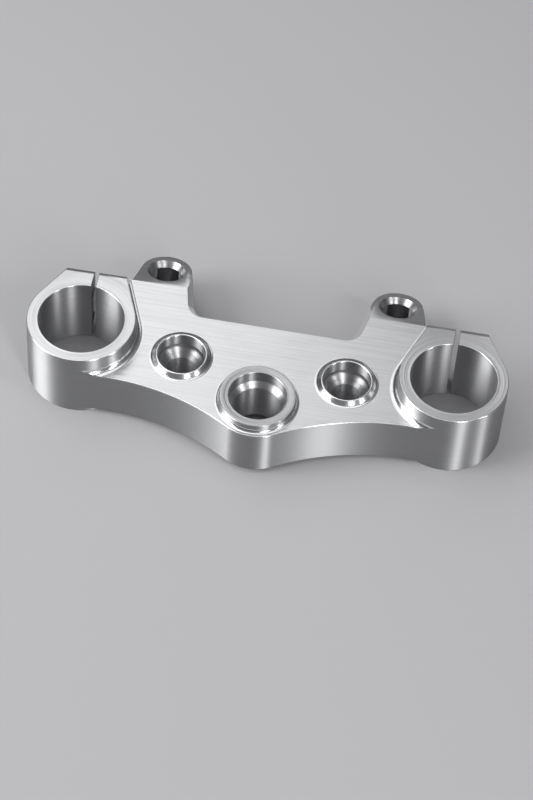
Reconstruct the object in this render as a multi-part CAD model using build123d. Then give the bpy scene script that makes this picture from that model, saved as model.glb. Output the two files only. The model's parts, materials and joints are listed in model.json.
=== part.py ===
from build123d import *
from math import asin, atan2, cos, degrees, pi, radians, sin, sqrt, tan
import os

# Upper triple clamp of a motorcycle fork, milled from one billet of aluminium.
# Millimetres. The origin is on the steering stem's axis at the plate's underside.
# +X is the rider's right, +Y is forward and +Z is up.

# Fork legs
fork_spacing = 214.0        # between the two fork axes
fork_offset = 29.0          # fork axes ahead of the stem axis
fork_tube = 49.0            # diameter of the tube in each clamp

# Plate
plate_thickness = 30.2
waist_radius = 140.0        # hollow edge between the nose and each clamp
edge_break = 0.5            # chamfer along the plate's outline

# Fork clamps, each with a slot between two ears
clamp_wall = 6.6
clamp_rise = 12.0           # clamp above the plate's top
clamp_drop = 3.4            # clamp below the plate's underside
clamp_blend = 4.2           # hollow blend from the plate's top up the clamp
clamp_chamfer = 0.7
bore_chamfer = 0.5
ear_length = 11.7           # from the bore to the end of the ears
ear_width = 34.8            # both ears and the slot, at their end
ear_shift = 1.9             # ears and slot, from the fork axis towards the stem
ear_bevel_run = 2.6         # sloping edge at the end of the ears' top
ear_bevel_drop = 0.9
slot_width = 2.6
slot_chamfer = 0.4

# Pinch bolts that close each slot
pinch_thread = 6.0
pinch_pitch = 1.0
pinch_play = 0.6            # round the bolt in its clearance hole
pinch_head = 10.0
pinch_head_play = 1.2
pinch_spacing = 22.0        # between the two bolts of one clamp
pinch_grip = 12.5           # ear under the bolt's head
pinch_depth = 13.0          # tapped length in the other ear

# Notch between the two lugs
notch_edge = 56.9           # its closed edge, ahead of the stem axis
notch_flare = 12.4          # degrees that each side opens towards the front
notch_fillet = 6.5
notch_bevel = 3.6           # width of its sloping edge, seen from above
notch_bevel_angle = 45.0    # degrees from the vertical

# Lugs with a sloping top
crease = 73.2               # where the plate's top bends, ahead of the stem axis
lug_tilt = 17.0             # degrees
lug_spacing = 137.2
lug_hole = 17.9
lug_sink = 2.3              # width of the countersink
lug_sink_depth = 3.4
lug_land = 3.8              # from the crease to the countersink
lug_wall = 3.8              # round the countersink
lug_chamfer = 0.8

# Boss of the steering stem
stem_bore = 27.0
stem_cone = 2.9             # width of the 45 degree seat below the counterbore
stem_counterbore_depth = 7.5
boss_wall = 5.3             # round the counterbore
boss_rise = 4.9
boss_blend = 2.3
boss_chamfer = 0.5
nose_land = 1.4             # plate's edge round the boss's blend

# Cups for the bushes of the handlebar mounts
bar_spacing = 95.2
bar_offset = 22.7           # ahead of the stem axis
bar_hole = 16.4
bar_seat = 5.3              # width of the cup's sloping floor, round the hole
bar_cup_depth = 10.5        # from the plate's top to the hole's edge
bar_round = 4.5             # from the cup's wall to its floor
bar_rim = 0.4               # flat crest of the rim
bar_rim_rise = 2.6          # rim above the plate's top
bar_rim_edge = 0.7          # chamfer at the cup's mouth
bar_blend = 3.0             # from the rim's outside to the plate
bar_slope = 45.0            # degrees, of the rim's outside and the cup's floor
bar_chamfer = 0.4

# Sizes and places that follow from the ones above
past = 5.0                  # cutting shapes run this far past the faces that they cut
fork_bore = fork_tube / 2
clamp_radius = fork_bore + clamp_wall
clamp_top = plate_thickness + clamp_rise
stem_counterbore = stem_bore / 2 + stem_cone
boss_radius = stem_counterbore + boss_wall
boss_top = plate_thickness + boss_rise
nose_radius = boss_radius + boss_blend + nose_land
slope = radians(lug_tilt)
flare = radians(notch_flare)
flank = radians(bar_slope)
lug_run = lug_land + lug_sink + lug_hole / 2
lug_radius = lug_hole / 2 + lug_sink + lug_wall
lug_top = plate_thickness - lug_run * sin(slope)
cup_radius = bar_hole / 2 + bar_seat
rim_top = plate_thickness + bar_rim_rise

stem = Vector(0, 0)
fork = Vector(fork_spacing / 2, fork_offset)
bar = Vector(bar_spacing / 2, bar_offset)
lug = Vector(lug_spacing / 2, crease + lug_run * cos(slope))
ear_end = fork_offset + fork_bore + ear_length
ear_middle = fork.X - ear_shift
ear_outer = Vector(ear_middle + ear_width / 2, ear_end)
ear_inner = Vector(ear_middle - ear_width / 2, ear_end)


def heading(vector):
    """Direction of a flat vector, in radians from +X."""
    return atan2(vector.Y, vector.X)


def ray(angle):
    """Flat vector of length 1 in a direction."""
    return Vector(cos(angle), sin(angle))


def arc(center, start, end, turn=1):
    """Arc about center from start to end, counter-clockwise for turn 1 and clockwise for -1."""
    sweep = turn * (heading(end - center) - heading(start - center)) % (2 * pi)
    middle = heading(start - center) + turn * sweep / 2
    return ThreePointArc(start, center + ray(middle) * (start - center).length, end)


def touch(point, center, radius, side):
    """Where a line from point touches a circle, on its left (1) or right (-1) as seen from point."""
    reach = center - point
    angle = heading(reach) + side * asin(radius / reach.length)
    return point + ray(angle) * sqrt(reach.length**2 - radius**2)


def both_sides(shape):
    """The shape on the rider's right with its mirror image on the left."""
    return shape + mirror(shape, about=Plane.YZ)


# Points where the right half of the outline changes from one curve to the next
stem_to_waist = nose_radius + waist_radius
fork_to_waist = clamp_radius + waist_radius
along = (stem_to_waist**2 - fork_to_waist**2 + fork.length**2) / (2 * fork.length)
aside = sqrt(stem_to_waist**2 - along**2)
waist = ray(heading(fork)) * along + ray(heading(fork) - pi / 2) * aside
nose_start = Vector(0, -nose_radius)
nose_end = ray(heading(waist)) * nose_radius
waist_end = fork + ray(heading(waist - fork)) * clamp_radius
flank_outer = touch(ear_outer, fork, clamp_radius, 1)
flank_inner = touch(ear_inner, fork, clamp_radius, -1)
lug_outer = touch(ear_inner, lug, lug_radius, -1)
lug_inner = lug + ray(pi - flare) * lug_radius
notch_corner = lug_inner - Vector(tan(flare), 1) * (lug_inner.Y - notch_edge)
notch_start = Vector(0, notch_edge)


def closed(*edges):
    """Face inside a chain of edges."""
    return make_face(Curve() + list(edges))


def round_notch(face):
    """The face with the notch's corner rounded."""
    return fillet(face.vertices().sort_by_distance(notch_corner)[0], notch_fillet)


def plate_outline():
    """Outline of the plate: nose, hollow waists, clamps, ears, lugs and the notch between them."""
    half = closed(
        arc(stem, nose_start, nose_end),
        arc(waist, nose_end, waist_end, -1),
        arc(fork, waist_end, flank_outer),
        Polyline(flank_outer, ear_outer, ear_inner, lug_outer),
        arc(lug, lug_outer, lug_inner),
        Polyline(lug_inner, notch_corner, notch_start, nose_start),
    )
    return both_sides(round_notch(half))


def notch_outline():
    """Outline of the notch alone, run on past the ends of the lugs."""
    far = lug.Y + lug_radius + past
    side = notch_corner + Vector(tan(flare), 1) * (far - notch_edge)
    half = closed(Polyline(notch_start, notch_corner, side, (0, far), notch_start))
    return both_sides(round_notch(half))


def clamp_outline():
    """Outline of the right clamp: a round wall that runs straight out into the two ears."""
    return closed(
        arc(fork, flank_inner, flank_outer),
        Polyline(flank_outer, ear_outer, ear_inner, flank_inner),
    )


def flat_edges(solid, height):
    """Edges of a solid that lie flat at a height."""
    return solid.edges().filter_by_position(Axis.Z, height, height)


def turned(*half_section):
    """Solid turned about the Z axis, from the edges of its half section in (radius, height)."""
    return revolve(Plane.XZ * closed(*half_section), Axis.Z)


def hollow(start, end, center):
    """Concave quarter arc of a half section."""
    radius = (start - center).length
    return ThreePointArc(start, center + ((start + end) / 2 - center).normalized() * radius, end)


def make_plate():
    """The plate with its lugs sloping down to the front and its notch bevelled."""
    plate = extrude(plate_outline(), plate_thickness)
    plate = chamfer(flat_edges(plate, 0), edge_break)

    # Slope: everything above a tilted plane through the crease
    length = lug.Y + lug_radius + past - crease
    top = plate_thickness + past
    wedge = Polyline(
        (crease, plate_thickness),
        (crease + length, plate_thickness - length * tan(slope)),
        (crease + length, top),
        (crease, top),
        close=True,
    )
    plate -= extrude(Plane.YZ * make_face(wedge), fork_spacing / 2, both=True)

    # Broken edge round each lug's top, up to the crease
    across = Axis((0, 0, 0), (0, sin(slope), cos(slope)))
    rims = plate.faces().filter_by(across).edges()
    plate = chamfer(rims - rims.filter_by(Axis.X), lug_chamfer)

    # Bevel: the notch's outline, widening upwards
    widest = notch_bevel + past
    steep = tan(radians(notch_bevel_angle))
    funnel = offset(notch_outline(), widest, kind=Kind.INTERSECTION)
    funnel = extrude(funnel, widest / steep, taper=notch_bevel_angle)
    return plate - Pos(0, 0, plate_thickness + past / steep) * Rot(0, 180, 0) * funnel


def make_clamp():
    """Outer form of the right clamp."""
    solid = Pos(0, 0, -clamp_drop) * extrude(clamp_outline(), clamp_drop + clamp_top)
    solid = chamfer(flat_edges(solid, clamp_top) + flat_edges(solid, -clamp_drop), clamp_chamfer)
    bevel = Polyline(
        (ear_end - ear_bevel_run, clamp_top),
        (ear_end, clamp_top - ear_bevel_drop),
        (ear_end, clamp_top),
        close=True,
    )
    return solid - Pos(ear_middle, 0, 0) * extrude(Plane.YZ * make_face(bevel), ear_width, both=True)


def make_blend():
    """Hollow blend round the right clamp and straight on along its inner flank, to the plate's edge."""
    foot = Vector(clamp_radius + clamp_blend, plate_thickness)
    crown = Vector(clamp_radius, plate_thickness + clamp_blend)
    root = Vector(fork_bore, plate_thickness - past)
    section = Plane.XZ * closed(
        hollow(foot, crown, Vector(foot.X, crown.Y)),
        Polyline(crown, (root.X, crown.Y), root, (foot.X, root.Y), foot),
    )
    ear_side = ear_inner - flank_inner
    first = heading(flank_inner - fork)
    sweep = (heading(waist_end - fork) - first) % (2 * pi)
    section = Pos(fork.X, fork.Y, 0) * Rot(0, 0, degrees(first)) * section
    ring = revolve(section, Axis((fork.X, fork.Y, 0), (0, 0, 1)), degrees(sweep))
    strip = extrude(section, ear_side.length + ear_width / 2, dir=ear_side.normalized())
    return (ring + strip) & extrude(plate_outline(), clamp_top)


def make_boss():
    """Raised ring round the steering stem."""
    foot = Vector(boss_radius + boss_blend, plate_thickness)
    crown = Vector(boss_radius, plate_thickness + boss_blend)
    root = plate_thickness - past
    return turned(
        hollow(foot, crown, Vector(foot.X, crown.Y)),
        Polyline(
            crown,
            (boss_radius, boss_top - boss_chamfer),
            (boss_radius - boss_chamfer, boss_top),
            (0, boss_top),
            (0, root),
            (foot.X, root),
            foot,
        ),
    )


def make_rim():
    """Rim of a handlebar cup before the cup is cut, with a sloping outside that blends into the plate."""
    crest = cup_radius + bar_rim_edge + bar_rim
    drop = bar_blend * (1 - cos(flank))
    knee = Vector(crest + (bar_rim_rise - drop) / tan(flank), plate_thickness + drop)
    foot = Vector(knee.X + bar_blend * sin(flank), plate_thickness)
    root = plate_thickness - past
    return turned(
        arc(foot + Vector(0, bar_blend), foot, knee, -1),
        Polyline(knee, (crest, rim_top), (0, rim_top), (0, root), (foot.X, root), foot),
    )


def bored(radius, bottom, top, broken):
    """Half section of a straight bore between two heights, with both edges broken."""
    flared = radius + broken + past
    return Polyline(
        (0, bottom - past),
        (flared, bottom - past),
        (radius, bottom + broken),
        (radius, top - broken),
        (flared, top + past),
        (0, top + past),
        (0, bottom - past),
    )


def cut_fork():
    """Bore and slot of the right clamp."""
    bore = Pos(fork.X, fork.Y, 0) * turned(bored(fork_bore, -clamp_drop, clamp_top, bore_chamfer))
    half = slot_width / 2
    flared = half + slot_chamfer + past
    side = [
        (half, -clamp_drop + slot_chamfer),
        (half, clamp_top - slot_chamfer),
        (flared, clamp_top + past),
        (-flared, clamp_top + past),
        (-half, clamp_top - slot_chamfer),
        (-half, -clamp_drop + slot_chamfer),
        (-flared, -clamp_drop - past),
        (flared, -clamp_drop - past),
    ]
    gap = extrude(Plane.XZ * make_face(Polyline(*side, close=True)), -(ear_end + past - fork.Y))
    return bore + Pos(ear_middle, fork.Y, 0) * gap


def cut_pinch():
    """Pinch bolt holes of the right clamp, with a seat for each head that opens to the ears' end."""
    tapped = (pinch_thread - pinch_pitch) / 2
    clear = (pinch_thread + pinch_play) / 2
    seat = (pinch_head + pinch_head_play) / 2
    floor = slot_width / 2 + pinch_depth
    shoulder = slot_width / 2 + pinch_grip
    outside = clamp_radius + past
    hole = turned(
        Polyline(
            (0, -floor),
            (tapped, -floor),
            (tapped, 0),
            (clear, 0),
            (clear, outside),
            (0, outside),
            (0, -floor),
        )
    )
    recess = Circle(seat) + Pos(0, ear_length / 2) * Rectangle(2 * seat, ear_length)
    pocket = Pos(0, 0, shoulder) * extrude(recess, outside - shoulder)
    bolt = Rot(0, 90, 0) * hole + Plane.YZ * Rot(0, 0, -90) * pocket
    middle = (clamp_top - clamp_drop) / 2
    place = Pos(ear_middle, fork.Y + fork_bore + ear_length / 2, middle)
    return place * (Pos(0, 0, -pinch_spacing / 2) * bolt + Pos(0, 0, pinch_spacing / 2) * bolt)


def cut_stem():
    """Stem bore, its 45 degree seat and the counterbore above it."""
    bore = stem_bore / 2
    cone_top = boss_top - stem_counterbore_depth
    flared = boss_chamfer + past
    return turned(
        Polyline(
            (0, -past),
            (bore + flared, -past),
            (bore, boss_chamfer),
            (bore, cone_top - stem_cone),
            (stem_counterbore, cone_top),
            (stem_counterbore, boss_top - boss_chamfer),
            (stem_counterbore + flared, boss_top + past),
            (0, boss_top + past),
            (0, -past),
        )
    )


def cut_bar():
    """Handlebar cup with a sloping floor that rounds up into its wall, and the hole through it."""
    hole = bar_hole / 2
    floor = Vector(hole + bar_chamfer, plate_thickness - bar_cup_depth)
    knee_radius = cup_radius - bar_round * (1 - sin(flank))
    knee = Vector(knee_radius, floor.Y + (knee_radius - floor.X) * tan(flank))
    wall = Vector(cup_radius, knee.Y + bar_round * cos(flank))
    mouth = Vector(cup_radius, rim_top - bar_rim_edge)
    flared = bar_chamfer + past
    return turned(
        Polyline(
            (0, -past),
            (hole + flared, -past),
            (hole, bar_chamfer),
            (hole, floor.Y - bar_chamfer),
            floor,
            knee,
        ),
        arc(wall - Vector(bar_round, 0), knee, wall),
        Polyline(
            wall,
            mouth,
            mouth + Vector(bar_rim_edge + past, bar_rim_edge + past),
            (0, rim_top + past),
            (0, -past),
        ),
    )


def cut_lug():
    """Hole of the right lug, square to its sloping top, with a countersink."""
    hole = lug_hole / 2
    steepness = lug_sink / lug_sink_depth
    deep = -(lug_top / cos(slope) + lug_run)
    return turned(
        Polyline(
            (0, deep),
            (hole, deep),
            (hole, -lug_sink_depth),
            (hole + lug_sink + past * steepness, past),
            (0, past),
            (0, deep),
        )
    )


# Raised forms, joined to the plate
body = make_plate() + both_sides(make_clamp()) + both_sides(make_blend())
nose_front = Vector(0, -nose_radius, plate_thickness)
long_edge = body.edges().filter_by(GeomType.CIRCLE).sort_by_distance(nose_front)[0]
body = chamfer(long_edge, edge_break)
body += make_boss()
body += both_sides(Pos(bar.X, bar.Y, 0) * make_rim())

# Bores, cups, slots and bolt holes
body -= cut_stem()
body -= both_sides(Pos(bar.X, bar.Y, 0) * cut_bar())
body -= both_sides(Pos(lug.X, lug.Y, lug_top) * Rot(-lug_tilt, 0, 0) * cut_lug())
body -= both_sides(cut_fork())
body -= both_sides(cut_pinch())

os.makedirs("parts", exist_ok=True)
export_step(body.solid(), "parts/triple_clamp.step")
print("triple_clamp valid:", body.is_valid, "volume in mm3:", round(body.volume))
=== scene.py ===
# %% [markdown]
# # An upper triple clamp, milled from one billet
#
# A triple clamp holds the two fork legs of a motorcycle and turns with the steering stem.
# This one is a single block of aluminium: two split clamps, a flat plate between them,
# a boss for the stem, two cups for the handlebar mounts and two lugs at the front.
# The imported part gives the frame, so every size below is in metres and in its axes:
# +X is the rider's right, +Y is forward and +Z is up.

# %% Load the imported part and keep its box
import bpy
import json
from contextlib import contextmanager
from math import asin, atan2, ceil, cos, degrees, pi, radians, sin, sqrt, tan
from mathutils import Matrix, Vector


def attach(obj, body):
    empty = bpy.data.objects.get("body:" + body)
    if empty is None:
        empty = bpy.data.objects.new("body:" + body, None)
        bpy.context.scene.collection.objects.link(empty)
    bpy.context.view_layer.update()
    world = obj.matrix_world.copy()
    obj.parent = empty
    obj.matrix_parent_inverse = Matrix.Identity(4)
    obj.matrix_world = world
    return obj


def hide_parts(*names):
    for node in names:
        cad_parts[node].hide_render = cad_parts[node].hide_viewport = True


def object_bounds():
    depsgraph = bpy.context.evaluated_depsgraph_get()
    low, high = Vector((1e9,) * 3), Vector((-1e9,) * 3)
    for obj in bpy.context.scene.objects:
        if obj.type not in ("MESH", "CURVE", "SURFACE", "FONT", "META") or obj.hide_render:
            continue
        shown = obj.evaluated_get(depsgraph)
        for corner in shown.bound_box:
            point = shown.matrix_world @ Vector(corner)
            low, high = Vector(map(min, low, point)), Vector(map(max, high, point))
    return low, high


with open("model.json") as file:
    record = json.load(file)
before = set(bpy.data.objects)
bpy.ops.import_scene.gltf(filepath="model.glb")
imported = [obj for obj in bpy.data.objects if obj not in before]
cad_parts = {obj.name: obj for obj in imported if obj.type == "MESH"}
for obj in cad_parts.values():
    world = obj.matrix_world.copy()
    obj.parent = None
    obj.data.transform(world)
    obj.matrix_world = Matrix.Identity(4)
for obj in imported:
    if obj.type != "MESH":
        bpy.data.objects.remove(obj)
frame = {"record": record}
cad_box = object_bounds()
low, high = cad_box
print("CAD box:", [round(x, 4) for x in (*low, *high)])

# %% [markdown]
# ## Sizes
#
# The part's record says where something is fastened to it: every bore has a place, an axis
# and a radius. The box gives the heights and the reach of the clamps. Reading them here keeps
# the model true to the part. What neither of them says is named where it is first needed, as a
# maker would mark it on a drawing.

# %% Sizes from the record and the box
mm = 0.001
mounts = {m["name"]: m for m in frame["record"]["mounts"]}


def place_of(name):
    """Where a mount sits, seen from above."""
    return Vector(mounts[name]["pos_m"]).to_2d()


def radius_of(name):
    """The radius of a bore that a mount describes."""
    return mounts[name]["dims"]["r_mm"] * mm


stem = place_of("stem_bore")
fork = place_of("fork_clamp_right")
bar = place_of("bar_hole_right")
stem_bore = radius_of("stem_bore")
fork_bore = radius_of("fork_clamp_right")
bar_hole = radius_of("bar_hole_right")
cup_bore = radius_of("bar_cup_right")
lug_hole = radius_of("lug_hole_right")
clamp_bottom, clamp_top = low.z, high.z
clamp_radius = high.x - fork.x
nose_radius = -low.y
print("fork axes", round(2 * fork.x / mm, 1), "mm apart, clamp radius", round(clamp_radius / mm, 1), "mm")

# %% [markdown]
# ## Where the outline turns
#
# Seen from above, the edge of the plate is arcs and straight runs, and nearly all of them meet
# without a kink. The hollow waist touches the nose and the clamp, and the ears' sides touch the
# clamp's round wall. Those touching points follow from the circles, so no point is placed by eye.


# %% Directions and touching points
def heading(direction):
    """The angle of a direction seen from above, from +X towards +Y."""
    return atan2(direction.y, direction.x)


def ray(angle):
    """The direction of length one at an angle."""
    return Vector((cos(angle), sin(angle)))


def touch(point, centre, radius, side):
    """Where a line from point touches a circle, on its left (1) or right (-1) as seen from point."""
    away = centre - point
    angle = heading(away) + side * asin(radius / away.length)
    return point + ray(angle) * sqrt(away.length_squared - radius**2)


# %% Nose and waist
waist_radius = 140.0 * mm
stem_to_waist = nose_radius + waist_radius
fork_to_waist = clamp_radius + waist_radius
along = (stem_to_waist**2 - fork_to_waist**2 + fork.length_squared) / (2 * fork.length)
aside = sqrt(stem_to_waist**2 - along**2)
waist = ray(heading(fork)) * along + ray(heading(fork) - pi / 2) * aside
nose_start = Vector((0, -nose_radius))
nose_end = ray(heading(waist)) * nose_radius
waist_end = fork + ray(heading(waist - fork)) * clamp_radius
print("the waist ends on the clamp at", tuple(round(x, 4) for x in waist_end))

# %% Ears
ear_length = 11.7 * mm       # from the bore to the ears' end
ear_width = 34.8 * mm
ear_shift = 1.9 * mm         # ears and slot, from the fork axis towards the stem
ear_end = fork.y + fork_bore + ear_length
ear_middle = fork.x - ear_shift
ear_outer = Vector((ear_middle + ear_width / 2, ear_end))
ear_inner = Vector((ear_middle - ear_width / 2, ear_end))
flank_outer = touch(ear_outer, fork, clamp_radius, 1)
flank_inner = touch(ear_inner, fork, clamp_radius, -1)
print("the ears end at", round(ear_end, 4))

# %% Lugs and the notch between them
lug_sink = 2.3 * mm          # width of the countersink round the hole
lug_wall = 3.8 * mm          # width of the metal round the countersink
lug_radius = lug_hole + lug_sink + lug_wall
lug = Vector((place_of("lug_hole_right").x, high.y - lug_radius))
notch_edge = 56.9 * mm
notch_flare = radians(12.4)
notch_fillet = 6.5 * mm
lug_outer = touch(ear_inner, lug, lug_radius, -1)
lug_inner = lug + ray(pi - notch_flare) * lug_radius
notch_corner = lug_inner - Vector((tan(notch_flare), 1)) * (lug_inner.y - notch_edge)
notch_turn = notch_corner.x - notch_fillet / tan((pi / 2 + notch_flare) / 2)
notch_centre = Vector((notch_turn, notch_edge + notch_fillet))
print("the lugs are round about", tuple(round(x, 4) for x in lug))

# %% [markdown]
# ## Drawing with operators
#
# Blender has no sketches like a CAD program's, but two edit-mode operators can draw an outline:
# extrude moves a copy of the last point along a straight run, and spin carries it round a centre
# as an arc. A plane merged at its centre is the first point. The same pen draws flat outlines and
# upright sections. Run in a script like this, spin and rotate turn clockwise for a positive
# angle, so the angle of an arc gets a minus sign.

# %% The pen
facet = radians(1.5)         # one step of a large arc
shortest = 0.5 * mm          # one step of a small arc
longest = 1.2 * mm           # one step of a very large arc
fewest = 5                   # steps of any arc
RIGHT, FORWARD, UP = Vector((1, 0, 0)), Vector((0, 1, 0)), Vector((0, 0, 1))
FLAT, UPRIGHT, SIDE = (RIGHT, FORWARD), (RIGHT, UP), (FORWARD, UP)


def alone(piece):
    """Select one object and nothing else."""
    bpy.ops.object.select_all(action="DESELECT")
    piece.select_set(True)
    bpy.context.view_layer.objects.active = piece


@contextmanager
def editing(piece):
    """Edit mode with all of one piece selected, and then object mode again."""
    alone(piece)
    bpy.ops.object.mode_set(mode="EDIT")
    bpy.ops.mesh.select_all(action="SELECT")
    yield
    bpy.ops.object.mode_set(mode="OBJECT")


def draw(name, start, runs, plane=FLAT, offset=Vector((0, 0, 0))):
    """A wire from start along runs of (end, centre): an arc, or straight where centre is None."""
    across, up = plane

    def lift(point):
        return across * point[0] + up * point[1] + offset

    bpy.ops.object.select_all(action="DESELECT")
    bpy.ops.mesh.primitive_plane_add(size=mm)
    piece = bpy.context.object
    piece.name = name
    with editing(piece):
        bpy.ops.mesh.merge(type="CENTER")
        bpy.ops.transform.translate(value=lift(start))
        here = Vector(start)
        for end, centre in runs:
            end = Vector(end)
            if centre is None:
                bpy.ops.mesh.extrude_region_move(TRANSFORM_OT_translate={"value": lift(end) - lift(here)})
            else:
                a, b = here - Vector(centre), end - Vector(centre)
                angle = atan2(a.x * b.y - a.y * b.x, a.dot(b))
                arc = abs(angle) * a.length
                steps = max(fewest, ceil(min(abs(angle) / facet, arc / shortest)), ceil(arc / longest))
                bpy.ops.mesh.spin(steps=steps, angle=-angle, center=lift(centre), axis=across.cross(up))
            here = end
    return piece


def straight(*points):
    """Runs of the pen through points, with no arcs."""
    return [(p, None) for p in points]


# %% [markdown]
# ## Solids from a wire
#
# A machine moves a tool along a line or turns it about an axis, and two helpers here do the
# same: one extrudes a closed wire and one spins an open half section. Boolean modifiers then join
# such solids to the body or cut them away. Extruding and spinning can leave doubled points and
# faces that look inwards, so each solid is tidied before it is used.

# %% Modifiers and tidying
touching = 0.001 * mm        # points closer than this are merged


def apply_modifier(piece, kind, **settings):
    """Give a piece a modifier and apply it at once."""
    alone(piece)
    modifier = piece.modifiers.new(kind.title(), kind)
    for key, value in settings.items():
        setattr(modifier, key, value)
    bpy.ops.object.modifier_apply(modifier=modifier.name)


def both_sides(piece):
    """The piece with its mirror image on the rider's left."""
    apply_modifier(piece, "MIRROR", merge_threshold=touching)
    return piece


def tidy(piece):
    """Merge what meets, close gaps of up to four sides and turn every face outwards."""
    with editing(piece):
        bpy.ops.mesh.remove_doubles(threshold=touching)
        bpy.ops.mesh.fill_holes(sides=4)
        bpy.ops.mesh.normals_make_consistent(inside=False)
    return piece


# %% Extruding, turning and combining
def extruded(piece, travel):
    """A solid from a closed wire that is carried along a vector."""
    with editing(piece):
        bpy.ops.mesh.remove_doubles(threshold=touching)
        bpy.ops.mesh.edge_face_add()
        bpy.ops.mesh.extrude_region_move(TRANSFORM_OT_translate={"value": travel})
    return tidy(piece)


def turned(piece, centre, axis=UP):
    """A solid of revolution from an open half section that starts and ends on its axis."""
    with editing(piece):
        bpy.ops.mesh.spin(steps=round(2 * pi / facet), angle=2 * pi, center=centre, axis=axis)
    return tidy(piece)


def combine(piece, tool, operation):
    """Join a tool to the piece or cut it away, and remove the tool."""
    apply_modifier(piece, "BOOLEAN", object=tool, operation=operation, solver="EXACT")
    mesh = tool.data
    print(operation.lower(), "with", tool.name, "leaves", len(piece.data.polygons), "faces")
    bpy.data.objects.remove(tool)
    bpy.data.meshes.remove(mesh)


# %% [markdown]
# ## The blank
#
# The real part is sawn and milled from a thick plate. Its outline is drawn once for the
# rider's right, mirrored, filled and raised to the clamps' full height. The rim is rounded now,
# while the shape is clean, because these are the edges that the finished clamps keep.

# %% Blank
outline = [
    (nose_end, stem),
    (waist_end, waist),
    (flank_outer, fork),
    (ear_outer, None),
    (ear_inner, None),
    (lug_outer, None),
    (lug_inner, lug),
    (notch_centre + ray(-notch_flare) * notch_fillet, None),
    (notch_centre - Vector((0, notch_fillet)), notch_centre),
    (Vector((0, notch_edge)), None),
]
body = both_sides(draw("triple_clamp_body", nose_start, outline, offset=UP * clamp_bottom))
extruded(body, UP * (clamp_top - clamp_bottom))
print("blank:", len(body.data.vertices), "points, box", [round(x, 4) for x in body.dimensions])

# %% Round the blank's rims
edge_round = 0.7 * mm        # outer edges of the clamps
bevel_steps = 4
bent = radians(0.5)          # a face that bends by more than this is split


def round_edges(piece, chosen, width):
    """Bevel the edges whose pairs of points are chosen, and split the faces that this bends."""
    alone(piece)
    bpy.context.tool_settings.mesh_select_mode = (False, True, False)
    for part in (piece.data.polygons, piece.data.edges, piece.data.vertices):
        part.foreach_set("select", [False] * len(part))
    for edge in piece.data.edges:
        edge.select = edge.key in chosen
    bpy.ops.object.mode_set(mode="EDIT")
    bpy.ops.mesh.bevel(offset=width, segments=bevel_steps, affect="EDGES", clamp_overlap=False)
    bpy.ops.mesh.select_mode(type="VERT")
    bpy.ops.mesh.select_all(action="SELECT")
    bpy.ops.mesh.vert_connect_nonplanar(angle_limit=bent)
    bpy.ops.object.mode_set(mode="OBJECT")
    print("rounded", len(chosen), "edges by", round(width / mm, 2), "mm")


def level_edges(piece):
    """Point pairs of the edges that run level."""
    heights = [v.co.z for v in piece.data.vertices]
    return {e.key for e in piece.data.edges if abs(heights[e.key[0]] - heights[e.key[1]]) < touching}


round_edges(body, level_edges(body), edge_round)

# %% [markdown]
# ## Milling down to the plate
#
# A ball-nosed cutter takes the metal off around the clamps, and leaves a hollow fillet where
# the plate meets each clamp. A bevel could make that fillet, but not its end: on the real part
# it crosses the hollow waist and runs out in a sharp tip. So the cut is modelled as the metal
# that is taken off: a section with that rounded corner, swept along the clamp's inner flank,
# round its wall and straight on, past the edge of the part. The tip then comes by itself.

# %% Sizes of the milled cut
plate_top = 30.2 * mm
plate_bottom = 0.0           # the frame's origin lies on the plate's underside
past = 5.0 * mm              # cutting shapes run this far past what they cut
clamp_blend = 4.2 * mm       # radius of the hollow fillet
reach = 150.0 * mm           # how far the cut goes from the clamp
sky = clamp_top + past
pit = clamp_bottom - past
round_start = clamp_radius - edge_round
blend_foot = clamp_radius + clamp_blend
far = clamp_radius + reach
flank = (ear_inner - flank_inner).normalized()
leave = ray(heading(waist_end - fork) + pi / 2)
print("the cut leaves the clamp towards", tuple(round(x, 2) for x in leave))


# %% Metal milled off above and below the plate
def swept_cut(name, start, runs):
    """A closed section in (distance from the fork axis, height), swept along the inner side."""
    piece = draw(name, start, runs, UPRIGHT)
    first, last = heading(flank_inner - fork), heading(waist_end - fork)
    sweep = (last - first) % (2 * pi)
    with editing(piece):
        bpy.ops.mesh.remove_doubles(threshold=touching)
        bpy.ops.transform.rotate(value=-first, orient_axis="Z", center_override=(0, 0, 0))
        bpy.ops.transform.translate(value=(fork + flank * reach).to_3d())
        bpy.ops.mesh.extrude_region_move(TRANSFORM_OT_translate={"value": (-flank * reach).to_3d()})
        bpy.ops.mesh.spin(steps=ceil(sweep / facet), angle=-sweep, center=fork.to_3d(), axis=UP)
        bpy.ops.mesh.extrude_region_move(TRANSFORM_OT_translate={"value": (leave * reach).to_3d()})
        bpy.ops.mesh.select_all(action="SELECT")
        bpy.ops.mesh.fill_holes(sides=0)
        bpy.ops.mesh.normals_make_consistent(inside=False)
    apply_modifier(piece, "MIRROR", use_bisect_axis=(True, False, False), merge_threshold=touching)
    return tidy(piece)


upper_cut = swept_cut("upper_cut", (blend_foot, plate_top), [
    ((far, plate_top), None),
    ((far, sky), None),
    ((round_start, sky), None),
    ((round_start, clamp_top), None),
    ((clamp_radius, clamp_top - edge_round), (round_start, clamp_top - edge_round)),
    ((clamp_radius, plate_top + clamp_blend), None),
    ((blend_foot, plate_top), (blend_foot, plate_top + clamp_blend)),
])
combine(body, upper_cut, "DIFFERENCE")
lower_cut = swept_cut("lower_cut", (clamp_radius, plate_bottom), [
    ((clamp_radius, clamp_bottom + edge_round), None),
    ((round_start, clamp_bottom), (round_start, clamp_bottom + edge_round)),
    ((round_start, pit), None),
    ((far, pit), None),
    ((far, plate_bottom), None),
    ((clamp_radius, plate_bottom), None),
])
combine(body, lower_cut, "DIFFERENCE")

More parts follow.
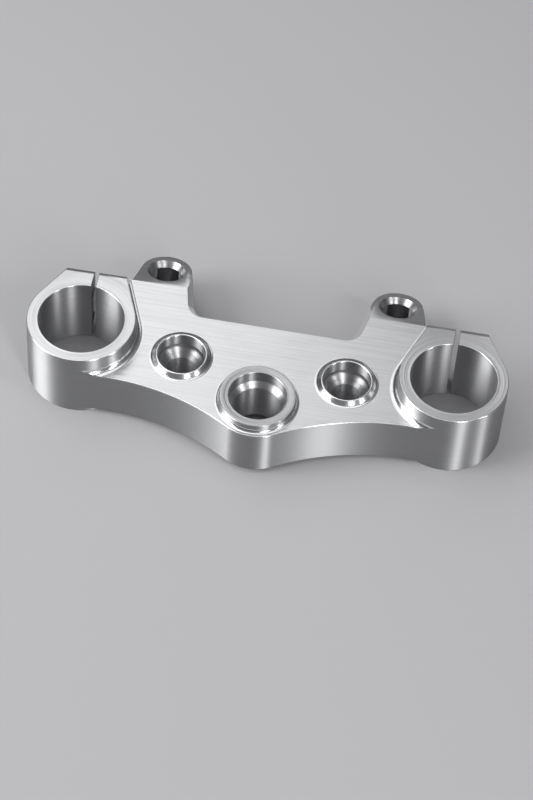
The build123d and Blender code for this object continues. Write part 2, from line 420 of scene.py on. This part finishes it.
# %% [markdown]
# ## Slopes and notch
#
# Three more cuts shape the front. The plate's top bends down at a crease to the two lugs, and
# the ears' ends slope a little too: both are cut by prisms that reach across the whole part. The
# notch between the lugs has a sloping edge that widens upwards like a funnel. A bevel would keep
# its width all along, but this slope fades out where the lugs fall away. So the notch's outline
# is drawn twice, as it is and grown, and the two loops are bridged.

# %% Slope of the lugs
crease = 73.2 * mm           # where the plate's top bends down
lug_axis = Vector(mounts["lug_hole_right"]["axis"])
lug_tilt = atan2(lug_axis.y, lug_axis.z)
front = high.y + past
lug_fall = (front - crease) * tan(lug_tilt)
width = high.x - low.x


def across_cut(name, *corners):
    """A prism across the whole part, from corners in (forward, height)."""
    wire = draw(name, corners[0], straight(*corners[1:], corners[0]), SIDE, RIGHT * -width)
    return extruded(wire, RIGHT * 2 * width)


slope_cut = across_cut(
    "slope_cut",
    (crease, plate_top),
    (front, plate_top - lug_fall),
    (front, sky),
    (crease, sky),
)
combine(body, slope_cut, "DIFFERENCE")
print("the lugs slope by", round(degrees(lug_tilt), 1), "degrees")

# %% Slope of the ears' ends
ear_bevel_run = 2.6 * mm
ear_bevel_drop = 0.9 * mm
ear_slope = ear_bevel_drop / ear_bevel_run
ear_cut = across_cut(
    "ear_cut",
    (ear_end - ear_bevel_run - past, clamp_top + past * ear_slope),
    (ear_end + past, clamp_top - ear_bevel_drop - past * ear_slope),
    (ear_end + past, sky),
)
combine(body, ear_cut, "DIFFERENCE")

# %% Funnel of the notch
notch_bevel = 3.6 * mm       # depth and width of the sloping edge


def notch_loop(grown, height):
    """The notch's outline, grown outwards, at a height."""
    corner = notch_centre + ray(-notch_flare) * (notch_fillet + grown)
    side = corner + ray(pi / 2 - notch_flare) * (front - corner.y) / cos(notch_flare)
    runs = [
        ((notch_centre.x, notch_edge - grown), None),
        (corner, notch_centre),
        (side, None),
        ((0, side.y), None),
    ]
    return both_sides(draw("notch_cut", (0, notch_edge - grown), runs, offset=UP * height))


funnel = notch_loop(0, plate_top - notch_bevel)
mouth = notch_loop(notch_bevel + past, plate_top + past)
alone(funnel)
mouth.select_set(True)
bpy.ops.object.join()
with editing(funnel):
    bpy.ops.mesh.bridge_edge_loops()
    bpy.ops.mesh.select_all(action="SELECT")
    bpy.ops.mesh.fill_holes(sides=0)
combine(body, tidy(funnel), "DIFFERENCE")

# %% [markdown]
# ## Broken edges
#
# A milled edge is never left sharp. The plate's long edges and the rims of the lugs catch a
# thin line of light because they are rounded a little. They are the edges between a face that
# looks up and an upright wall, so the code finds them by the faces on either side. The cuts
# have left lines across the flats, and a bevel would stumble over them, so faces that lie in
# one plane are made one first.

# %% Round the plate's upper edges
edge_break = 0.5 * mm
tip_margin = 0.5 * mm        # the rounding ends this far from the fillet's tip
in_plane = radians(0.05)     # faces that differ by less are one
hair = 0.01 * mm             # slack for rounded numbers
top_look = 0.9               # a top face's normal rises by more than this
wall_look = 0.01             # a wall's normal rises or falls by less than this


def merge_flats(piece):
    """Make one face of faces that lie in one plane."""
    with editing(piece):
        bpy.ops.mesh.dissolve_limited(angle_limit=in_plane)
    print("flats merged:", len(piece.data.polygons), "faces")


def upper_edges(piece):
    """Point pairs of edges between a top face and an upright wall, clear of the fillet's tip."""
    looks = {}
    for face in piece.data.polygons:
        for key in face.edge_keys:
            looks.setdefault(key, []).append(face.normal.z)
    found = set()
    for key, (one, other) in looks.items():
        a, b = (piece.data.vertices[i].co for i in key)
        on_plate = max(a.z, b.z) < plate_top + hair
        from_fork = min((Vector((abs(p.x), p.y)) - fork).length for p in (a, b))
        corner = max(one, other) > top_look and abs(min(one, other)) < wall_look
        if on_plate and corner and from_fork > blend_foot + tip_margin:
            found.add(key)
    return found


merge_flats(body)
round_edges(body, upper_edges(body), edge_break)

# %% [markdown]
# ## Raised rings
#
# The stem's boss and the rims of the two cups stand a little above the plate. On a lathe they
# would be turned, so each is a half section spun about its own axis. Their feet end a hair below
# the plate's top: two surfaces that only touch make a ragged join, and two that cross make a
# clean one.

# %% Boss of the steering stem
dip = 0.004 * mm             # how far a fillet's foot lies below the plate's top
ring_root = plate_top - past
stem_cone = 2.9 * mm         # width of the sloping seat below the counterbore
counterbore = stem_bore + stem_cone
boss_wall = 5.3 * mm
boss_height = 4.9 * mm
boss_blend = 2.3 * mm
boss_round = 0.5 * mm
boss_radius = counterbore + boss_wall
boss_top = plate_top + boss_height
boss_foot = boss_radius + boss_blend
boss_crown = plate_top + boss_blend - dip


def turned_about(place, name, start, runs):
    """A solid of revolution about an upright axis, from a half section in (distance, height)."""
    return turned(draw(name, start, runs, UPRIGHT, place.to_3d()), place.to_3d())


boss = turned_about(stem, "boss", (0, ring_root), [
    ((boss_foot, ring_root), None),
    ((boss_foot, plate_top - dip), None),
    ((boss_radius, boss_crown), (boss_foot, boss_crown)),
    ((boss_radius, boss_top - boss_round), None),
    ((boss_radius - boss_round, boss_top), (boss_radius - boss_round, boss_top - boss_round)),
    ((0, boss_top), None),
])
combine(body, boss, "UNION")

# %% Rims of the handlebar cups
rim_height = 2.6 * mm
rim_edge = 0.7 * mm          # rounded edge of the cup's mouth
rim_flat = 0.4 * mm          # from that edge to the outer slope
rim_round = 0.9 * mm         # between that flat and the slope
rim_blend = 3.0 * mm         # between the slope and the plate
cup_slope = radians(45)      # of the rim's outside and of the cup's floor
rim_top = plate_top + rim_height
rim_crest = cup_bore + rim_edge + rim_flat
rim_knee_height = plate_top - dip + rim_blend * (1 - cos(cup_slope))
rim_knee = rim_crest + rim_top - rim_knee_height
rim_foot = rim_knee + rim_blend * sin(cup_slope)
round_centre = Vector((rim_crest - rim_round * tan(cup_slope / 2), rim_top - rim_round))
rim = turned_about(bar, "rim", (0, ring_root), [
    ((rim_foot, ring_root), None),
    ((rim_foot, plate_top - dip), None),
    ((rim_knee, rim_knee_height), (rim_foot, plate_top - dip + rim_blend)),
    (round_centre + ray(cup_slope) * rim_round, None),
    ((round_centre.x, rim_top), round_centre),
    ((0, rim_top), None),
])
combine(body, both_sides(rim), "UNION")

# %% [markdown]
# ## Bores and cups
#
# Everything that goes through the plate is cut after the rings are on. The bores are turned
# like the rings, and their sections flare at both ends, so their rims come out rounded and need
# no bevel afterwards. The stem's bore has a sloping seat for a nut, and each handlebar cup has a
# rounded floor with a hole in it.

# %% Stem bore and fork bores
bore_round = 0.5 * mm
counterbore_depth = 7.5 * mm
cone_top = boss_top - counterbore_depth


def lower_rim(radius, height):
    """Runs of the pen from below the metal up into a bore, past its rounded lower rim."""
    mouth = radius + bore_round
    return [
        ((mouth, height - past), None),
        ((mouth, height), None),
        ((radius, height + bore_round), (mouth, height + bore_round)),
    ]


def upper_rim(radius, height, rounding):
    """Runs of the pen up a bore, past its rounded upper rim and back to the axis above it."""
    mouth = radius + rounding
    return [
        ((radius, height - rounding), None),
        ((mouth, height), (mouth, height - rounding)),
        ((mouth, height + past), None),
        ((0, height + past), None),
    ]


stem_cut = turned_about(stem, "stem_cut", (0, plate_bottom - past), [
    *lower_rim(stem_bore, plate_bottom),
    ((stem_bore, cone_top - stem_cone), None),
    ((counterbore, cone_top), None),
    *upper_rim(counterbore, boss_top, boss_round),
])
combine(body, stem_cut, "DIFFERENCE")
fork_cut = turned_about(fork, "fork_cut", (0, clamp_bottom - past), [
    *lower_rim(fork_bore, clamp_bottom),
    *upper_rim(fork_bore, clamp_top, bore_round),
])
combine(body, both_sides(fork_cut), "DIFFERENCE")

# %% Handlebar cups
cup_depth = 10.5 * mm
cup_round = 4.5 * mm
cup_floor = plate_top - cup_depth
floor_knee = cup_bore - cup_round * (1 - sin(cup_slope))
floor_knee_height = cup_floor + floor_knee - bar_hole - bore_round
cup_wall = floor_knee_height + cup_round * cos(cup_slope)
cup_cut = turned_about(bar, "cup_cut", (0, plate_bottom - past), [
    *lower_rim(bar_hole, plate_bottom),
    ((bar_hole, cup_floor - bore_round), None),
    ((bar_hole + bore_round, cup_floor), None),
    ((floor_knee, floor_knee_height), None),
    ((cup_bore, cup_wall), (cup_bore - cup_round, cup_wall)),
    *upper_rim(cup_bore, rim_top, rim_edge),
])
combine(body, both_sides(cup_cut), "DIFFERENCE")

# %% [markdown]
# ## Lug holes
#
# The lugs' holes stand square to the slope and open in a wide countersink. Their axis leans
# forward, so the half section is drawn in a plane that leans with it and is spun about that axis.

# %% Lug holes, square to the slope
lug_sink_depth = 3.4 * mm
sink_slope = lug_sink / lug_sink_depth
through = 2 * plate_top      # deep enough to leave the underside
lug_top = Vector((lug.x, lug.y, plate_top - (lug.y - crease) * tan(lug_tilt)))
lug_section = straight(
    (lug_hole, -through),
    (lug_hole, -lug_sink_depth),
    (lug_hole + lug_sink + past * sink_slope, past),
    (0, past),
)
lug_cut = draw("lug_cut", (0, -through), lug_section, (RIGHT, lug_axis), lug_top)
combine(body, both_sides(turned(lug_cut, lug_top, lug_axis)), "DIFFERENCE")

# %% [markdown]
# ## Slots and pinch bolts
#
# A slot splits each clamp between its ears, and two bolts pull the ears together on the fork
# leg. A saw leaves sharp edges, so the slot's section flares at its ends to round them. A bolt
# hole is wide in the outer ear and narrow for the thread in the inner one. The bolt's head sits in
# a pocket that is open to the side and to the ears' end, where a tool can reach it.

# %% Slots of the clamps
slot = 2.6 * mm
slot_flare = 0.4 * mm
half_slot = slot / 2
wide_slot = half_slot + slot_flare
slot_cut = draw("slot_cut", (-wide_slot, pit), [
    ((wide_slot, pit), None),
    ((wide_slot, clamp_bottom), None),
    ((half_slot, clamp_bottom + slot_flare), (wide_slot, clamp_bottom + slot_flare)),
    ((half_slot, clamp_top - slot_flare), None),
    ((wide_slot, clamp_top), (wide_slot, clamp_top - slot_flare)),
    ((wide_slot, sky), None),
    ((-wide_slot, sky), None),
    ((-wide_slot, clamp_top), None),
    ((-half_slot, clamp_top - slot_flare), (-wide_slot, clamp_top - slot_flare)),
    ((-half_slot, clamp_bottom + slot_flare), None),
    ((-wide_slot, clamp_bottom), (-wide_slot, clamp_bottom + slot_flare)),
    ((-wide_slot, pit), None),
], UPRIGHT, Vector((ear_middle, fork.y, 0)))
extruded(slot_cut, FORWARD * (ear_end + past - fork.y))
combine(body, both_sides(slot_cut), "DIFFERENCE")

# %% Pinch bolts' holes and the seats of their heads
pinch = mounts["pinch_bolts_right"]
pinch_place = Vector(pinch["pos_m"])
pinch_hole = pinch["dims"]["hole_r_mm"] * mm
pinch_spacing = pinch["dims"]["spacing_y_mm"] * mm
thread_hole = 2.5 * mm
thread_depth = 14.3 * mm     # from the middle of the slot towards the stem
ear_grip = 12.5 * mm         # from the slot to the seat of the bolt's head
seat = 5.6 * mm              # half the width of the pocket for the head
seat_x = ear_middle + half_slot + ear_grip
for side in (-1, 1):
    bolt = Vector((0, pinch_place.y, pinch_place.z + side * pinch_spacing / 2))
    bolt_section = straight(
        (ear_middle - thread_depth, thread_hole),
        (ear_middle, thread_hole),
        (ear_middle, pinch_hole),
        (seat_x + past, pinch_hole),
        (seat_x + past, 0),
    )
    bolt_cut = draw("bolt_cut", (ear_middle - thread_depth, 0), bolt_section, UPRIGHT, bolt)
    combine(body, both_sides(turned(bolt_cut, bolt, RIGHT)), "DIFFERENCE")
    open_end = ear_end + past - bolt.y
    seat_cut = draw("seat_cut", (open_end, -seat), [
        ((open_end, seat), None),
        ((0, seat), None),
        ((-seat, 0), (0, 0)),
        ((0, -seat), (0, 0)),
        ((open_end, -seat), None),
    ], SIDE, bolt + RIGHT * seat_x)
    extruded(seat_cut, RIGHT * (high.x - seat_x))
    combine(body, both_sides(seat_cut), "DIFFERENCE")

# %% [markdown]
# ## Smooth shading
#
# Faces that meet at a shallow angle are shaded as one surface, and steeper edges stay sharp.
# Some sharp edges grow shallower along their way, such as the fillet's edge at its tip, and
# would end in the middle of a surface with a smear of shade. The edges that go on from such a
# loose end are kept sharp down to a smaller angle. Then large faces are given more weight than
# narrow ones, so that flats stay flat right up to their rounded edges.

# %% Smooth faces and sharp edges
sharp = radians(32)
still_sharp = radians(10)
tidy(body)
bpy.ops.object.shade_smooth_by_angle(angle=sharp)
sides = {}
for face in body.data.polygons:
    for key in face.edge_keys:
        sides.setdefault(key, []).append(face.normal)
meeting = {}
for edge in body.data.edges:
    for point in edge.vertices:
        meeting.setdefault(point, []).append(edge)
loose_ends = [edges for edges in meeting.values() if sum(e.use_edge_sharp for e in edges) == 1]
for edge in sum(loose_ends, []):
    one, other = sides[edge.key]
    edge.use_edge_sharp = edge.use_edge_sharp or one.angle(other) > still_sharp
print("sharp edges that ended on a surface:", len(loose_ends))

# %% Weigh the faces at each point
apply_modifier(body, "WEIGHTED_NORMAL", mode="FACE_AREA", weight=100, keep_sharp=True)
print("finished:", len(body.data.polygons), "faces, box", [round(x, 4) for x in body.dimensions])

# %% [markdown]
# ## Grooves
#
# Bare aluminium looks the way it was cut. Every tool leaves fine grooves, and light spreads
# across a groove but not along it. A bump map could show them, but they are finer than a pixel.
# So one node group tips the surface normal back and forth across the grooves, by a noise that is
# stretched along them. Each finish only says which way its grooves lie and how deep they are.


# %% Node helpers
def node(tree, kind, inputs, **options):
    """A node with its options, and its inputs connected or set."""
    made = tree.nodes.new(kind)
    for key, value in options.items():
        setattr(made, key, value)
    for key, value in inputs.items():
        if isinstance(value, bpy.types.NodeSocket):
            tree.links.new(value, made.inputs[key])
        else:
            made.inputs[key].default_value = value
    return made


def number(tree, operation, *values):
    """The result of a math node."""
    return node(tree, "ShaderNodeMath", dict(enumerate(values)), operation=operation).outputs[0]


def vector(tree, operation, *values):
    """The result of a vector math node."""
    return node(tree, "ShaderNodeVectorMath", dict(enumerate(values)), operation=operation).outputs[0]


def scaled(tree, value, factor):
    """A vector made longer or shorter by a factor."""
    return node(tree, "ShaderNodeVectorMath", {0: value, "Scale": factor}, operation="SCALE").outputs[0]


def new_group(name, inputs, outputs):
    """An empty shader group with named sockets, and the sockets of its two end nodes."""
    tree = bpy.data.node_groups.new(name, "ShaderNodeTree")
    for socket, kind in inputs.items():
        tree.interface.new_socket(socket, in_out="INPUT", socket_type="NodeSocket" + kind)
    for socket, kind in outputs.items():
        tree.interface.new_socket(socket, in_out="OUTPUT", socket_type="NodeSocket" + kind)
    return tree, tree.nodes.new("NodeGroupInput").outputs, tree.nodes.new("NodeGroupOutput").inputs


# %% Grooves that tip the normal
noise_middle = 0.5
noise_low, noise_high = 0.35, 0.65   # nearly all of the coarse noise lies between these
line_scale = 0.15            # the tone changes over lines several grooves wide
grooves, given, put = new_group(
    "grooves",
    {"Across": "Vector", "Place": "Vector", "Depth": "Float"},
    {"Normal": "Vector", "Lines": "Float"},
)
fine = node(grooves, "ShaderNodeTexNoise", {"Vector": given["Place"], "Scale": 1, "Detail": 2})
swing = number(grooves, "SUBTRACT", fine.outputs[0], noise_middle)
lean = number(grooves, "MULTIPLY", swing, given["Depth"])
smooth = node(grooves, "ShaderNodeNewGeometry", {}).outputs["Normal"]
tipped = vector(grooves, "ADD", smooth, scaled(grooves, given["Across"], lean))
grooves.links.new(vector(grooves, "NORMALIZE", tipped), put["Normal"])
coarse = node(grooves, "ShaderNodeTexNoise", {"Vector": given["Place"], "Scale": line_scale, "Detail": 3})
spread = {"Value": coarse.outputs[0], "From Min": noise_low, "From Max": noise_high}
grooves.links.new(node(grooves, "ShaderNodeMapRange", spread).outputs[0], put["Lines"])
print("grooves:", len(grooves.nodes), "nodes")

# %% [markdown]
# ## Turned circles
#
# A boring tool leaves circles about its axis. A second group gives the direction across such
# circles and the place along it, which the first group then reads. It folds the left half of
# the part over the right one, so that one centre serves a hole and its mirror image.

# %% Circles about an axis
circles, given, put = new_group("circles", {"Centre": "Vector"}, {"Across": "Vector", "Place": "Vector"})
position = node(circles, "ShaderNodeTexCoord", {}).outputs["Object"]
split = node(circles, "ShaderNodeSeparateXYZ", {0: position}).outputs
folded = node(circles, "ShaderNodeCombineXYZ", {0: number(circles, "ABSOLUTE", split[0]), 1: split[1]})
arm = vector(circles, "SUBTRACT", folded.outputs[0], given["Centre"])
arm_split = node(circles, "ShaderNodeSeparateXYZ", {0: arm}).outputs
outward = number(circles, "MULTIPLY", arm_split[0], number(circles, "SIGN", split[0]))
radial = node(circles, "ShaderNodeCombineXYZ", {0: outward, 1: arm_split[1]}).outputs[0]
distance = node(circles, "ShaderNodeVectorMath", {0: arm}, operation="LENGTH").outputs["Value"]
ring_place = node(circles, "ShaderNodeCombineXYZ", {0: distance, 1: split[2]}).outputs[0]
circles.links.new(vector(circles, "NORMALIZE", radial), put["Across"])
circles.links.new(ring_place, put["Place"])
print("circles:", len(circles.nodes), "nodes")

# %% [markdown]
# ## Metals
#
# All finishes are one metal. The plate is brushed from side to side. Walls and bores have level
# tool lines, and they also smear reflections upwards into streaks, which the shader's own
# anisotropy does well on a wall. The boss, the clamps' tops, the cups, the stem's seat and the
# countersinks have circles. Fillets and rims are polished. Each finish has a tone that darkens
# the metal's colour. On the walls, bores and cups the darker tone is partly for deep grooves
# that shade each other and partly painted shade on these upright and hollow faces. The boss,
# the clamps' tops, the stem's seat and the countersinks are darker than the plate too.

# %% Bare metal with grooves
aluminium = Vector((0.88, 0.885, 0.895))
line_tone = 0.91             # how much light the darker lines keep


def new_metal(name, tone_and_shade, roughness, depth, pitch, across=UP, centre=None, streak=0.0):
    """A metal with grooves of a pitch in each metre, across a direction or about a centre."""
    material = bpy.data.materials.new(name)
    material.use_nodes = True
    tree = material.node_tree
    if centre is None:
        place = node(tree, "ShaderNodeTexCoord", {}).outputs["Object"]
    else:
        ring = node(tree, "ShaderNodeGroup", {"Centre": (*centre, 0)}, node_tree=circles)
        across, place = ring.outputs["Across"], ring.outputs["Place"]
    lines = {"Across": across, "Place": vector(tree, "MULTIPLY", place, pitch), "Depth": depth}
    groove = node(tree, "ShaderNodeGroup", lines, node_tree=grooves)
    # The tone darkens the metal's colour; on walls, bores and cups it is partly painted shade.
    light = aluminium * tone_and_shade
    colours = {"Factor": groove.outputs["Lines"], 6: (*light * line_tone, 1), 7: (*light, 1)}
    tint = node(tree, "ShaderNodeMix", colours, data_type="RGBA")
    shader = tree.nodes["Principled BSDF"]
    tree.links.new(tint.outputs[2], shader.inputs["Base Color"])
    tree.links.new(groove.outputs["Normal"], shader.inputs["Normal"])
    shader.inputs["Metallic"].default_value = 1
    shader.inputs["Roughness"].default_value = roughness
    shader.inputs["Anisotropic"].default_value = streak
    if streak:
        upwards = node(tree, "ShaderNodeCombineXYZ", {"Z": 1})
        tree.links.new(upwards.outputs[0], shader.inputs["Tangent"])
    return material


# %% The part's finishes
brush = (30, 5000, 30)       # grooves in each metre along X, Y and Z
level = (10, 10, 10000)
rings = (6000, 6000, 0)      # grooves in each metre outwards and upwards
metals = [
    new_metal("brushed_plate", tone_and_shade=1.0, roughness=0.3, depth=0.6, pitch=brush, across=FORWARD),
    # Walls, bores and cups: their lower tone is partly for deep grooves and partly painted shade.
    new_metal("shaded_milled_wall", tone_and_shade=0.66, roughness=0.5, depth=1.2, pitch=level, streak=1.0),
    new_metal("shaded_honed_bore", tone_and_shade=0.6, roughness=0.5, depth=1.2, pitch=level, streak=1.0),
    new_metal("bored_stem_seat", tone_and_shade=0.62, roughness=0.28, depth=1.2, pitch=rings, centre=stem),
    new_metal("shaded_bored_cup", tone_and_shade=0.5, roughness=0.3, depth=1.2, pitch=rings, centre=bar),
    new_metal("countersink", tone_and_shade=0.62, roughness=0.28, depth=1.2, pitch=rings, centre=lug),
    new_metal("faced_boss", tone_and_shade=0.68, roughness=0.24, depth=1.3, pitch=rings, centre=stem),
    new_metal("faced_clamp", tone_and_shade=0.92, roughness=0.28, depth=1.1, pitch=rings, centre=fork),
    new_metal("polished_fillet", tone_and_shade=1.0, roughness=0.19, depth=0.06, pitch=level),
]
finishes = [metal.name for metal in metals]
print("finishes:", ", ".join(finishes))

# %% [markdown]
# ## A finish for each face
#
# The tool that cut a face can be told from where the face is and which way it looks, so no face
# is picked by hand. Walls come first, then the hollows, the flats and the rings' tops. What is
# left are fillets and rims.

# %% Give each face its finish
near = 0.1 * mm              # faces of one cut lie this close to its size
steep = 0.2                  # a wall's normal rises or falls by less than this
slanted = 0.99               # cosine: a countersink's normal leans further than this from its axis
square = 0.999               # cosine: a flat's normal leans less than this from its axis
faced_depth = 1.5 * mm       # of a clamp's top, with the slope of its ears' ends


def finish_of(face):
    """Which finish a face has, from its place and the way it looks."""
    spot = Vector((abs(face.center.x), face.center.y, face.center.z))
    look, height = face.normal, spot.z
    from_stem = spot.to_2d().length
    from_fork = (spot.to_2d() - fork).length
    from_bar = (spot.to_2d() - bar).length
    from_lug = (spot - lug_top).cross(lug_axis).length
    # Walls, bores and, below, the cups get the metals whose darker tone is partly painted shade.
    if abs(look.z) < steep:
        around = (from_stem - counterbore, from_fork - fork_bore, from_bar - cup_bore, from_lug - lug_hole)
        return "shaded_honed_bore" if min(around) < near else "shaded_milled_wall"
    if look.z > 0 and from_lug < lug_hole + lug_sink and look.dot(lug_axis) < slanted:
        return "countersink"
    if look.z > 0 and from_bar < cup_bore and height < rim_top - rim_edge:
        return "shaded_bored_cup"
    if look.z > 0 and from_stem < counterbore and height < boss_top - boss_round:
        return "bored_stem_seat"
    on_plate = look.z > square and abs(height - plate_top) < near
    if on_plate or look.dot(lug_axis) > square or look.z < -top_look:
        return "brushed_plate"
    if look.z > top_look and height > clamp_top - faced_depth:
        return "faced_clamp"
    if from_stem < boss_radius and height > boss_top - boss_round:
        return "faced_boss"
    return "polished_fillet"


for metal in metals:
    body.data.materials.append(metal)
tally = dict.fromkeys(finishes, 0)
for face in body.data.polygons:
    finish = finish_of(face)
    face.material_index = finishes.index(finish)
    tally[finish] += 1
print("faces by finish:", tally)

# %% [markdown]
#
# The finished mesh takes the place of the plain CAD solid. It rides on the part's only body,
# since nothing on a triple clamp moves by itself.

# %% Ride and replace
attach(body, "root")
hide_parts("triple_clamp")
print("declared", body.name, "with", len(body.data.materials), "finishes")

# %% [markdown]
# ## Stage
#
# Bare metal shows what is around it, so the stage makes half of the look. The floor is plain,
# pale and matt. The dome is dim and gets brighter overhead, which keeps walls darker than the
# plate. Four soft boxes above and behind the part fill the plate's mirror image, each about as
# bright as white paper. Three tall ones stand further off to its left and right, and draw
# upright streaks on the round walls.

# %% Floor
floor_size = 6.0
floor_colour = (0.5, 0.5, 0.51, 1)
floor_values = {"Base Color": floor_colour, "Roughness": 0.8, "Specular IOR Level": 0.1}
bpy.ops.mesh.primitive_plane_add(size=floor_size, location=(0, 0, clamp_bottom))
floor = bpy.context.object
floor.name = "floor"
paint = bpy.data.materials.new("floor_paint")
paint.use_nodes = True
for socket, value in floor_values.items():
    paint.node_tree.nodes["Principled BSDF"].inputs[socket].default_value = value
floor.data.materials.append(paint)
print("floor:", floor_size, "m wide, at height", round(clamp_bottom, 4))

# %% Camera at the photograph's angle
lens = 117
camera_place = Vector((0.10237, -0.8883, 1.18572))
camera_turn = radians(6.24)
camera_down = radians(52.23)
camera_roll = radians(4.26)
camera_data = bpy.data.cameras.new("camera")
camera_data.lens = lens
camera = bpy.data.objects.new("camera", camera_data)
bpy.context.scene.collection.objects.link(camera)
turn = Matrix.Rotation(camera_turn, 4, "Z")
tip = Matrix.Rotation(pi / 2 - camera_down, 4, "X")
roll = Matrix.Rotation(camera_roll, 4, "Z")
camera.matrix_world = Matrix.Translation(camera_place) @ turn @ tip @ roll
bpy.context.scene.camera = camera
print("camera:", round(camera_place.length, 2), "m away, tipped by", round(degrees(camera_down)), "degrees")

# %% Dome
horizon_rise, horizon_colour = 0.15, (0.06, 0.06, 0.065, 1)
zenith_rise, zenith_colour = 0.8, (0.2, 0.2, 0.21, 1)
world = bpy.data.worlds.new("studio")
bpy.context.scene.world = world
world.use_nodes = True
dome = world.node_tree
direction = node(dome, "ShaderNodeTexCoord", {}).outputs["Generated"]
rise = node(dome, "ShaderNodeSeparateXYZ", {0: direction}).outputs[2]
ramp = node(dome, "ShaderNodeValToRGB", {0: rise})
horizon, zenith = ramp.color_ramp.elements
horizon.position, horizon.color = horizon_rise, horizon_colour
zenith.position, zenith.color = zenith_rise, zenith_colour
dome.links.new(ramp.outputs[0], dome.nodes["Background"].inputs["Color"])
print("dome:", horizon_colour[:3], "at the horizon and", zenith_colour[:3], "overhead")

# %% Lamps
middle = Vector((0, 0.03, 0.02))


def soft_box(name, place, wide, tall, radiance):
    """A lamp that faces the part; its power follows from its size and how bright it looks."""
    data = bpy.data.lights.new(name, "AREA")
    data.shape = "RECTANGLE"
    data.size, data.size_y = wide, tall
    data.energy = radiance * pi * wide * tall
    lamp = bpy.data.objects.new(name, data)
    bpy.context.scene.collection.objects.link(lamp)
    lamp.location = place
    lamp.rotation_euler = (middle - Vector(place)).to_track_quat("-Z", "Y").to_euler()
    print(name, "has", round(data.energy, 2), "W")


soft_box("back_box", (-0.4, 0.85, 1.05), wide=0.9, tall=0.7, radiance=0.92)
soft_box("back_lamp", (0.3, 0.98, 0.6), wide=0.3, tall=0.3, radiance=1.0)
soft_box("key", (-0.6, 0.2, 1.1), wide=0.8, tall=0.8, radiance=1.0)
soft_box("top_box", (0.0, 0.05, 1.25), wide=1.4, tall=0.8, radiance=0.9)
soft_box("left_box", (-1.425, -0.51, 0.89), wide=0.9, tall=1.35, radiance=5.0)
soft_box("right_box", (0.75, -1.215, 0.89), wide=0.24, tall=1.35, radiance=8.0)
soft_box("right_strip", (1.425, -0.54, 0.74), wide=0.15, tall=1.2, radiance=9.0)

# %% [markdown]
# ## View
#
# The Standard view shows colours as they are written.

# %% Set the view
bpy.context.scene.view_settings.view_transform = "Standard"
